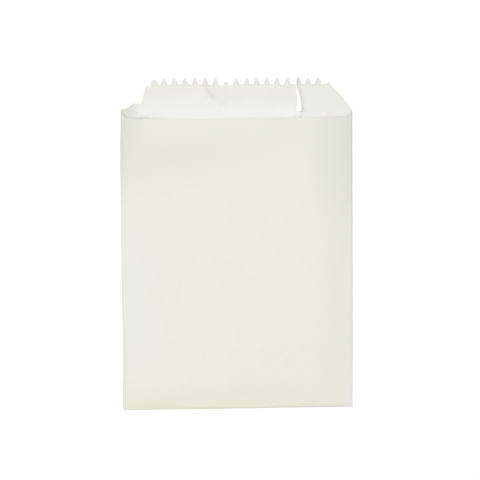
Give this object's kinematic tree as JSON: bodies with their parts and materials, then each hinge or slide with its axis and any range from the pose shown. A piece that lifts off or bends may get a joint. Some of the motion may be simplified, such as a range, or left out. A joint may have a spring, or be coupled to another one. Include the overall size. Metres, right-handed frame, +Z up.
{
  "type": "flat paper bag",
  "caption": "Flat white paper bag lying on its back, mouth a little open, with a straight front rim, a longer toothed lip behind it and a folded, glued bottom.",
  "frame": {"origin": "middle of the bag's footprint, on the surface it lies on", "axes": "+Z up from the surface, out of the front panel; +Y along the bag from the folded bottom to the mouth; +X across the bag, to the right when the front panel is looked at with the mouth up"},
  "size_m": [0.14, 0.2044, 0.0132],
  "materials": {
    "paper": "thin, slightly translucent, off-white paper, matt with a faint calendered sheen"
  },
  "bodies": {
    "root": {"bag": "paper"}
  },
  "joints": []
}
